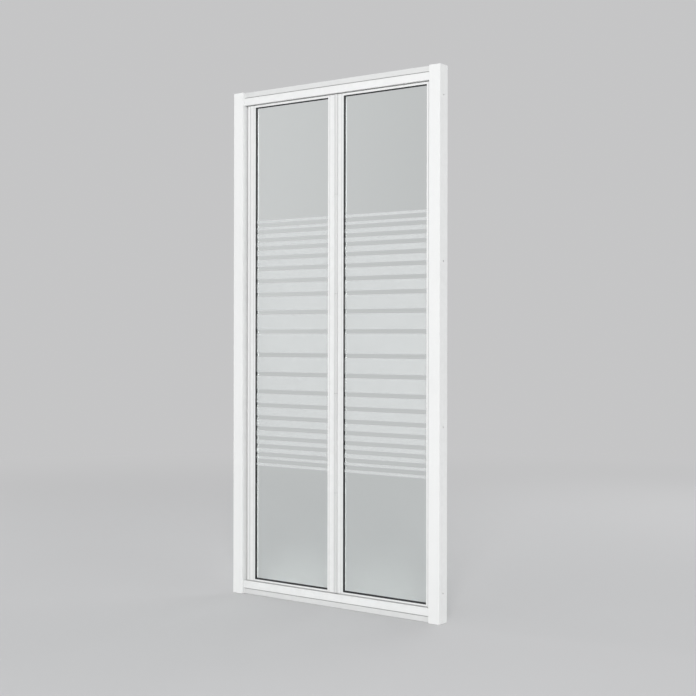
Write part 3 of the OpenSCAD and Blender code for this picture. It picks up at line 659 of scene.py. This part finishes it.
stile = dict(
    low=50.5, high=1799.5, edge=0.6, glazedRadii=[0.5, 0.35, 0.3, 0.3, 0.35, 0.6, 0.15, 0.1, 0.1, 0.15],
    lineIn=6.9, lineOut=8.1, lineDepth=0.8,
    pivotWidth=42.5, nose=10.99, coveIn=21.5, coveOut=30.5, coveDepth=2.0, covePoints=13,
    hingeLeft=36.0, hingeRight=29.5, cove=7.6, coveOff=0.75, hingeCovePoints=15,
    sealGroove=(12, 16), sealDepth=2.5, sealRadius=0.3,
    leading=20.0, magnetPocket=(2, 12), magnetDepth=3.6, leadingRadii=[3.0, 0.35, 0.25, 0.25, 0.35, 4.0],
    # how strong the painted shade in the line, the cove and on the nose's side is, and how far past their
    # corners it reaches
    linePaintedShade=0.8, covePaintedShade=0.42, sidePaintedShade=0.30, sideFrom=5.0, sideOver=3.5, aside=0.05, below=0.2, behind=0.1,
)


def glazedSide():
    # the outline that every stile shares: the channel for the glass and the fine line on the face
    f, s = door["leafFront"], stile
    near, far, floor = door["channelFront"], door["channelBack"], door["channelDepth"]
    line = f + s["lineDepth"]
    return [(0, door["leafBack"]), (0, far), (floor, far), (floor, near), (0, near), (0, f),
            (s["lineIn"], f), (s["lineIn"], line), (s["lineOut"], line), (s["lineOut"], f)]


def stileShape(extra, radii, edge, way):
    # a section of (outwards from the glass edge, depth), turned to its side of the pane and carried upwards
    loop = roundCorners(glazedSide() + extra, stile["glazedRadii"] + radii, steps=6, guard=0.08)
    loop = counterClockwise(np.stack([edge + way * loop[:, 0], loop[:, 1]], 1))
    return carried(loop, "z", stile["low"], stile["high"], ease=0.06, guard=0.1)


def pivotStile():
    # the rounded nose is a half circle that turns close to the jamb; a shallow round cove runs beside it,
    # on a circle through both its edges and its deepest point
    f, b, s = door["leafFront"], door["leafBack"], stile
    w, deep = s["pivotWidth"], s["coveDepth"]
    half = (s["coveOut"] - s["coveIn"]) / 2
    r = (half * half + deep * deep) / (2 * deep)
    a = np.linspace(-1, 1, s["covePoints"]) * math.asin(half / r)
    cove = list(zip(s["coveIn"] + half + r * np.sin(a), f + deep - r + r * np.cos(a)))
    shape = stileShape(cove + [(w, f), (w, b)], [0.0] * len(cove) + [s["nose"]] * 2, door["glassLeft"][0], -1)
    addPiece("pivotStile", shape, "left_leaf", "white_coat", ["pivot_stile"], hollows=pivotPaintedShade)


def linePaintedShade(points):
    # painted shade in the fine line, the darkest thing on a stile: all that lies below the face between its
    # two edges
    s, deep = stile, points[:, 1] - door["leafFront"]
    outwards = np.abs(points[:, :1] - np.array([door["glassLeft"] + door["glassRight"]]))
    near = ((outwards > s["lineIn"] - s["aside"]) & (outwards < s["lineOut"] + s["aside"])).any(axis=1)
    return (near & (deep > s["below"]) & (deep < s["lineDepth"] + s["behind"])) * s["linePaintedShade"]


def pivotPaintedShade(points):
    # painted shade: the cove greys towards its middle as a half circle rises, and the nose as it turns in by
    # the jamb
    s = stile
    outwards = door["glassLeft"][0] - points[:, 0]
    middle, half = (s["coveIn"] + s["coveOut"]) / 2, (s["coveOut"] - s["coveIn"]) / 2
    front = points[:, 1] < door["leafFront"] + s["coveDepth"] + s["behind"]
    cove = front * np.sqrt(np.clip(1 - ((outwards - middle) / half) ** 2, 0, 1))
    side = np.clip((outwards - s["pivotWidth"] + s["sideFrom"]) / s["sideOver"], 0, 1)
    return np.maximum.reduce([cove * s["covePaintedShade"], side * s["sidePaintedShade"], linePaintedShade(points)])


knuckle = dict(
    count=5, low=52.0, length=348.4, gap=1.0, bore=4.02, rim=0.5, rimPoints=5, hold=0.2, sides=64,
    neck=(4.7, 9.4, 1.0, 5.4), neckShort=0.3,
    # tone is the painted shade on the barrel and its caps
    tone=0.46, paintedShadeOver=0.2,  # how grey the barrel is, and how far past its side the grey reaches
)


def knuckles(first):
    # hollow barrels on every second place, each with a neck into its stile; a rim is a quarter circle
    # between the end and the side, with a point held on each flat beside it
    k, r, soft, hold = knuckle, door["barrel"], knuckle["rim"], knuckle["hold"]
    turn = np.linspace(0, np.pi / 2, k["rimPoints"])
    way = -1 if first == 0 else 1
    neck = counterClockwise(np.array(corners(*k["neck"])) * [way, 1] + [door["hingeX"], door["hingeY"]])
    parts = []
    for i in range(first, k["count"], 2):
        low = k["low"] + i * (k["length"] + k["gap"])
        high = low + k["length"]
        rise = np.stack([r - soft + soft * np.sin(turn), low + soft - soft * np.cos(turn)], 1)
        fall = np.stack([rise[::-1, 0], high + low - rise[::-1, 1]], 1)
        flat = r - soft - hold
        line = np.concatenate([[(k["bore"], low), (flat, low)], rise, [(r, low + soft + hold)],
                               [(r, high - soft - hold)], fall, [(flat, high), (k["bore"], high)]])
        parts.append(turned(line, k["sides"], (door["hingeX"], door["hingeY"], 0), "z", closed=True))
        parts.append(carried(neck, "z", low + k["neckShort"], high - k["neckShort"], ease=0.2))
    return parts


def hingeStiles():
    # both carry a cove that the barrel lies in, from the leaf's face round to the stile's edge; the left
    # one also has a groove for the centre seal
    f, b, s = door["leafFront"], door["leafBack"], stile
    r, off, y = s["cove"], s["coveOff"], door["hingeY"]
    start = math.atan2(f - y, -math.sqrt(r * r - (f - y) ** 2))
    end = math.atan2(math.sqrt(r * r - off * off), -off)
    a = np.linspace(start, end, s["hingeCovePoints"])
    low, high = s["sealGroove"]
    for side, w, edge, way in (("Left", s["hingeLeft"], door["glassLeft"][1], 1),
                               ("Right", s["hingeRight"], door["glassRight"][0], -1)):
        arc = list(zip(w + off + r * np.cos(a), y + r * np.sin(a)))
        floor = w - s["sealDepth"]
        seal = [(w, low), (floor, low), (floor, high), (w, high)] if side == "Left" else []
        radii = [0.0] * len(arc) + [s["sealRadius"]] * len(seal) + [s["edge"]]
        body = stileShape(arc + seal + [(w, b)], radii, edge, way)
        shape = merged([body] + knuckles(0 if side == "Left" else 1))
        addToLeaf("hingeStile", side, shape, "white_coat", "hinge_stile", hollows=barrelPaintedShade)


def barrelPaintedShade(points):
    # painted shade on the barrel, which makes it a little greyer than the stiles: all that lies within reach
    # of the hinge axis
    away = np.hypot(points[:, 0] - door["hingeX"], points[:, 1] - door["hingeY"])
    return np.where(away < door["barrel"] + knuckle["paintedShadeOver"], knuckle["tone"], linePaintedShade(points))


def leadingStile():
    # the closing edge: rounded corners and an open pocket for the magnet
    w, (low, high) = stile["leading"], stile["magnetPocket"]
    floor = w - stile["magnetDepth"]
    extra = [(w, door["leafFront"]), (w, low), (floor, low), (floor, high), (w, high), (w, door["leafBack"])]
    shape = stileShape(extra, stile["leadingRadii"], door["glassRight"][1], 1)
    addPiece("leadingStile", shape, "right_leaf", "white_coat", ["leading_stile"], hollows=linePaintedShade)


member = dict(bottom=6.0, top=8.0, floor=2.5, radii=[0.6, 0.6, 0.6, 0.35, 0.3, 0.3, 0.35, 0.6], gap=0.03)


def members():
    # shallow channels over and under the glass, butted between the stiles; the lower one shows more rubber
    f, b, low, m = door["leafFront"], door["leafBack"], door["leafFoot"], member
    near, far, floor = door["channelFront"], door["channelBack"], low + m["floor"]
    for end in ("bottom", "top"):
        high = low + m[end]
        loop = roundCorners([(f, low), (b, low), (b, high), (far, high), (far, floor), (near, floor),
                             (near, high), (f, high)], m["radii"])
        for side in ("Left", "Right"):
            x0, x1 = door["glass" + side]
            shape = carried(loop, "x", x0 + m["gap"], x1 - m["gap"], ease=0.12)
            if end == "top":
                shape = otherEnd(shape)
            addToLeaf(end + "Member", side, shape, "white_coat", end + "_member")


pane = dict(low=53.05, high=1796.95, gap=0.05, arris=0.5, corner=1.0)


def panes():
    # toughened glass with ground edges
    p = pane
    reach = door["paneBite"] - p["gap"]
    for side in ("Left", "Right"):
        x0, x1 = door["glass" + side][0] - reach, door["glass" + side][1] + reach
        loop = roundCorners(corners(x0, x1, p["low"], p["high"]), p["corner"], guard=0.0)
        shape = carried(loop, "y", door["paneFront"] + p["gap"], door["paneBack"] - p["gap"], ease=p["arris"])
        addToLeaf("glass", side, shape, "clear_glass", "glass")


bands = dict(middle=70.0, gap=15.0, heights=(55, 50, 35, 30, 25, 20, 15, 15, 10, 10), corner=0.8, inset=3.02,
             front=2.32, back=2.5)


def frostedBands():
    # twenty-one printed bands, widest in the middle of the pane and thinner towards both ends
    s, mid = bands, door["height"] / 2
    heights = np.array(s["heights"], float)
    near = s["middle"] / 2 + s["gap"] + np.concatenate([[0], np.cumsum(heights + s["gap"])[:-1]])
    low = np.concatenate([[-s["middle"] / 2], near, -(near + heights)]) + mid
    high = np.concatenate([[s["middle"] / 2], near + heights, -near]) + mid
    for side in ("Left", "Right"):
        x0, x1 = door["glass" + side][0] + s["inset"], door["glass" + side][1] - s["inset"]
        outlines = [roundCorners(corners(x0, x1, a, b), s["corner"], guard=0.0) for a, b in zip(low, high)]
        shape = merged([carried(o, "y", s["front"], s["back"], ease=0.05, guard=0.02) for o in outlines])
        addToLeaf("frostedBands", side, shape, "frosted_print", "frosted_bands")


gasket = dict(outer=-5.2, shoulder=0.5, show=3.0, front=-1.45, back=11.45, lip=1.15, clear=0.3,
              radii=[0.4, 0.5, 0.5, 0.1, 0.2, 0.2, 0.1, 0.5, 0.5, 0.4], shoulderZ=(-0.1, 1.2))


def gaskets():
    # a rubber channel round the pane: flat behind the frame's edge, then a sloping lip onto the glass
    g, near, far, bite = gasket, door["paneFront"], door["paneBack"], -door["paneBite"]
    section = roundCorners(
        [(g["outer"], g["front"]), (g["shoulder"], g["front"]), (g["show"], near - g["lip"]),
         (g["show"], near), (bite, near), (bite, far), (g["show"], far), (g["show"], far + g["lip"]),
         (g["shoulder"], g["back"]), (g["outer"], g["back"])], g["radii"], steps=4, guard=0.05)
    low, high = door["leafFoot"] + member["top"], door["leafTop"] - member["top"]
    for side in ("Left", "Right"):
        shape = gasketToFrame(framed(section, (*door["glass" + side], low, high)), low)
        addToLeaf("glazingGasket", side, shape, "black_rubber", "glazing_gasket")


def gasketToFrame(shape, low):
    # the members hold the glass less deeply than the stiles, so the outer wall is held back at both ends,
    # and the shoulder that lies on the lower member follows its lower edge
    points, faces = shape
    z = points[:, 2]
    start, end = gasket["shoulderZ"]
    shoulder = (z > low + start) & (z < low + end)
    foot = door["leafFoot"] + member["floor"] + gasket["clear"]
    points[:, 2] = np.clip(z - shoulder * (member["top"] - member["bottom"]), foot, door["height"] - foot)
    return points, faces


pivotStile()
hingeStiles()
leadingStile()
members()
panes()
frostedBands()
gaskets()
print("leaf pieces made")


seals = dict(
    lip=[(-410.35, 14.85), (-407.1, 14.85), (-406.7, 16.9), (-404.2, 17.55), (-404.1, 17.95), (-406.7, 18.2),
         (-407.1, 19.15), (-410.35, 19.15)],
    lipRadii=[0.3, 0.3, 0.5, 0.15, 0.15, 0.4, 0.3, 0.3], lipZ=(47.5, 1802.5),
    centre=[(6.4, 12.15), (8.8, 12.15), (9.62, 13.0), (9.62, 15.0), (8.8, 15.85), (6.4, 15.85)],
    centreRadii=[0.3, 0.6, 0.6, 0.6, 0.6, 0.3], centreZ=(70.0, 1780.0),
    drip=[(10.55, 48.75), (16.55, 48.75), (16.8, 47.6), (17.5, 47.55), (17.85, 48.7), (17.95, 49.45),
          (10.55, 49.45)],
    dripRadii=[0.15, 0.3, 0.2, 0.2, 0.2, 0.1, 0.1], dripGap=0.1, dripLines=(10.0, 500.0, 500.0),
)


def softSeals():
    # lip seal beside the nose, centre seal behind the barrel, and drip seals under the leaves, whose drawn
    # lines lie level
    s = seals
    lip = carried(roundCorners(s["lip"], s["lipRadii"]), "z", *s["lipZ"])
    addPiece("jambLipSeal", lip, "frame", "clear_vinyl", ["jamb_lip_seal"])
    centre = carried(roundCorners(s["centre"], s["centreRadii"]), "z", *s["centreZ"])
    addPiece("centreSeal", centre, "left_leaf", "clear_vinyl", ["centre_seal"])
    drip = roundCorners(s["drip"], s["dripRadii"])
    level = drawnFinish("levelVinyl", {**looks["clear_vinyl"], "along": s["dripLines"]})
    for side in ("Left", "Right"):
        x0, x1 = door["glass" + side]
        shape = carried(drip, "x", x0 + s["dripGap"], x1 - s["dripGap"], ease=0.1)
        addToLeaf("dripSeal", side, shape, "clear_vinyl", "drip_seal", finish=level)


magnets = dict(
    held=[(406.5, 2.2), (406.98, 2.2), (406.98, 4.8), (407.9, 4.8), (407.9, 2.2), (410.35, 2.2),
          (410.35, 11.8), (407.9, 11.8), (407.9, 9.2), (406.98, 9.2), (406.98, 11.8), (406.5, 11.8),
          (406.5, 8.0), (406.75, 7.7), (406.75, 6.3), (406.5, 6.0)],
    heldRadii=[0.2, 0.1, 0.05, 0.1, 0.1, 0.4, 0.4, 0.1, 0.1, 0.05, 0.1, 0.2, 0.1, 0.1, 0.1, 0.1],
    flush=[(402.15, 2.25), (404.9, 2.25), (405.45, 2.9), (405.45, 6.0), (405.2, 6.3), (405.2, 7.7),
           (405.45, 8.0), (405.45, 11.1), (404.9, 11.75), (402.15, 11.75)],
    flushRadii=[0.3, 0.4, 0.4, 0.1, 0.1, 0.1, 0.1, 0.4, 0.4, 0.3], flushZ=(70.0, 1780.0),
)


def magnetStrips():
    # the jamb's strip is held by its neck behind two lips, and the leaf's strip sits flush in its pocket
    m = magnets
    held = roundCorners(m["held"], m["heldRadii"], steps=3, guard=0.02)
    shape = carried(held, "z", door["leafFoot"], door["leafTop"], ease=0.08)
    addPiece("jambMagnetStrip", shape, "frame", "magnet_strip", ["jamb_magnet_strip"])
    flush = roundCorners(m["flush"], m["flushRadii"], steps=3, guard=0.02)
    shape = carried(flush, "z", *m["flushZ"])
    addPiece("leadingMagnetStrip", shape, "right_leaf", "magnet_strip", ["leading_magnet_strip"])


pinCap = dict(
    # radius and height: the flat, the dome's middle and its reach, and the skirt with the spigot above it
    flat=[(0.0, 50.02), (2.5, 50.02)], domeAt=(5.2, 51.4), domeReach=(1.75, 1.38), domePoints=7,
    skirt=[(6.95, 51.95), (6.7, 51.98), (3.0, 51.98), (2.95, 59.2), (2.6, 59.5), (0.0, 59.5)],
)


def hingeCaps():
    # domed lids on both ends of the barrel, with a spigot into it; the dome is a quarter of an ellipse
    (r, z), (wide, tall) = pinCap["domeAt"], pinCap["domeReach"]
    turn = np.linspace(0, np.pi / 2, pinCap["domePoints"])
    dome = np.stack([r + wide * np.cos(turn), z - tall * np.sin(turn)], 1)[::-1]
    line = np.concatenate([pinCap["flat"], dome, pinCap["skirt"]])
    shape = turned(line, knuckle["sides"], (door["hingeX"], door["hingeY"], 0), "z")
    addPiece("hingePinCaps", merged([shape, otherEnd(shape)]), "left_leaf", "white_coat", ["hinge_pin_caps"],
             hollows=barrelPaintedShade)


screws = dict(
    # radius and depth along the countersunk and the headless screws; a hexagon socket's radius, start and end
    sunk=[(0.0, -9.0), (1.5, -9.0), (1.88, -8.4), (1.88, -1.95), (3.55, -0.25), (3.75, -0.08), (3.6, -0.02),
          (0.0, -0.02)],
    stud=[(0.0, -8.4), (1.5, -8.4), (1.88, -8.0), (1.88, -0.3), (1.6, -0.02), (0.0, -0.02)],
    socket=(0.85, -1.6, 0.5), socketSides=6, sides=32,
    crossWide=3.6, crossThin=0.85, crossDeep=1.5, crossAbove=0.5, crossFloor=0.45,
)


def crossRecess(centre):
    # a cross-shaped outline that narrows evenly down to the recess's floor: a quarter of it turned four times
    s = screws
    a, b = s["crossWide"] / 2, s["crossThin"] / 2
    quarter = np.array([(a, -b), (a, b), (b, b)], float)
    turns = np.array([[[1, 0], [0, 1]], [[0, 1], [-1, 0]], [[-1, 0], [0, -1]], [[0, -1], [1, 0]]], float)
    cross = np.einsum("ni,tij->tnj", quarter, turns).reshape(-1, 2)
    depths = np.array([s["crossAbove"], 0.0, -s["crossDeep"]])
    points, faces = stacked(np.stack([cross, cross, cross * s["crossFloor"]]), depths, "y")
    return points + np.array(centre, float), faces


def fixings():
    # countersunk screws in the back flanges, and headless ones that hold the pivot blocks
    s, d, height = screws, door["profileDepth"] / 2, door["height"]
    spots = [(side * -profile["sinkX"], d, z) for side in (-1, 1) for z in profile["sinkZ"]]
    shape = merged([turned(s["sunk"], s["sides"], spot, "y") for spot in spots])
    tools = merged([crossRecess(spot) for spot in spots])
    addPiece("jambScrews", shape, "frame", "stainless_steel", ["jamb_screws"], cutters=tools)
    spots = [(rail["holeX"], door["railBack"], z) for z in (rail["holeZ"], height - rail["holeZ"])]
    shape = merged([turned(s["stud"], s["sides"], spot, "y") for spot in spots])
    tools = merged([turned(corners(0, *s["socket"]), s["socketSides"], spot, "y") for spot in spots])
    addPiece("pivotBlockScrews", shape, "frame", "stainless_steel", ["pivot_block_screws"], cutters=tools)


softSeals()
magnetStrips()
hingeCaps()
fixings()
print("seals and fixings made")


studio = dict(
    floorColour=(0.60, 0.60, 0.605, 1), floorShade=0.97, floorClouds=0.8, floorRough=0.9,
    bounce=(0.80, 0.80, 0.80, 1), backdrop=(0.56, 0.56, 0.565, 1), sky=(0.62, 0.625, 0.63, 1),
    floorReach=60.0, floorPoints=9, floorZ=-0.0006, fadeFrom=1.0, fadeTo=6.0,
    panel=(-0.847, -0.498, 0.169), panelEdge=(0.885, 0.945), panelGlow=1.2,
)


def makeFloor():
    # a wide pale floor that runs into the backdrop's tone away from the door, so that no horizon shows
    s, n = studio, studio["floorPoints"]
    grid = np.linspace(-s["floorReach"], s["floorReach"], n)
    x, y = np.meshgrid(grid, grid)
    points = np.stack([x.ravel(), y.ravel(), np.full(x.size, s["floorZ"])], 1)
    a = (np.arange(n - 1)[:, None] * n + np.arange(n - 1)).ravel()
    mesh = bpy.data.meshes.new("floor")
    mesh.from_pydata(points.tolist(), [], np.stack([a, a + 1, a + n + 1, a + n], 1).tolist())
    floor = bpy.data.objects.new("floor", mesh)
    bpy.context.scene.collection.objects.link(floor)
    finish, tree, shader = newFinish("studioFloor")
    at = ownPlace(tree)
    cloud = noise(tree, at, s["floorClouds"], 4.0)
    shade = tuple(s["floorShade"] * c for c in s["floorColour"][:3]) + (1,)
    colour = tint(tree, cloud, s["floorColour"], shade)
    colour = tint(tree, seenRays(tree), s["bounce"], colour)
    feed(tree, shader, {"Base Color": colour, "Roughness": s["floorRough"], "Specular IOR Level": 0.0})
    away = add(tree, "VectorMath", {0: at}, operation="LENGTH").outputs["Value"]
    fade = spread(tree, away, s["fadeFrom"], s["fadeTo"])
    blendShaders(tree, fade, shader, add(tree, "Emission", {"Color": s["backdrop"]}))
    mesh.materials.append(finish)


def makeWorld():
    # the backdrop's tone for what is seen, the sky's for the light, and a soft white panel at the left,
    # which shows in reflections alone
    s = studio
    world = bpy.data.worlds.new("studio")
    bpy.context.scene.world = world
    world.use_nodes = True
    tree = world.node_tree
    aim = add(tree, "TexCoord").outputs["Generated"]
    facing = add(tree, "VectorMath", {0: aim, 1: s["panel"]}, operation="DOT_PRODUCT").outputs["Value"]
    panel = spread(tree, facing, *s["panelEdge"], toHigh=s["panelGlow"])
    glow = maths(tree, "MULTIPLY", panel, add(tree, "LightPath").outputs["Is Glossy Ray"])
    colour = tint(tree, seenRays(tree), s["sky"], s["backdrop"])
    feed(tree, tree.nodes["Background"], dict(Color=colour, Strength=maths(tree, "ADD", glow, 1.0)))


def seenRays(tree):
    # one for what the camera sees, straight or in metal and glass, and nought for the light that falls
    path = add(tree, "LightPath").outputs
    seen = maths(tree, "ADD", path["Is Camera Ray"], path["Is Glossy Ray"])
    return maths(tree, "MINIMUM", maths(tree, "ADD", seen, path["Is Transmission Ray"]), 1.0)


lamps = dict(
    key=dict(at=(4.1, -6.0, 4.0), to=(0, 0, 1.0), size=1.9, power=290),
    left=dict(at=(-4.6, -1.05, 1.6), to=(0, 0, 1.0), size=0.9, power=28),
    back=dict(at=(0.6, 4.2, 2.6), to=(0, 0, 0.9), size=3.0, power=45, shine=False),
)


def makeLamps():
    # square soft lamps, each turned towards its aim; none is seen straight or through a pane
    for name, lamp in lamps.items():
        data = bpy.data.lights.new(name, "AREA")
        data.size, data.energy = lamp["size"], lamp["power"]
        light = bpy.data.objects.new(name, data)
        light.location = lamp["at"]
        light.visible_camera = light.visible_transmission = False
        light.visible_glossy = lamp.get("shine", True)
        light.rotation_euler = (Vector(lamp["to"]) - Vector(lamp["at"])).to_track_quat("-Z", "Y").to_euler()
        bpy.context.scene.collection.objects.link(light)


camera = dict(at=(2.661, -3.552, 0.9467), turn=36.23, roll=0.097, lens=65.25, sensor=36.0, shift=-0.01523,
              farthest=200)


def makeCamera():
    # a level camera at about half the door's height, turned towards it, with a trace of roll
    data = bpy.data.cameras.new("camera")
    data.lens, data.sensor_width, data.shift_y = camera["lens"], camera["sensor"], camera["shift"]
    data.clip_end = camera["farthest"]
    view = bpy.data.objects.new("camera", data)
    view.location = camera["at"]
    view.rotation_euler = (math.pi / 2, -math.radians(camera["roll"]), math.radians(camera["turn"]))
    bpy.context.scene.collection.objects.link(view)
    bpy.context.scene.camera = view


makeFloor()
makeWorld()
makeLamps()
makeCamera()
bpy.context.scene.view_settings.view_transform = "Standard"
print("studio ready")
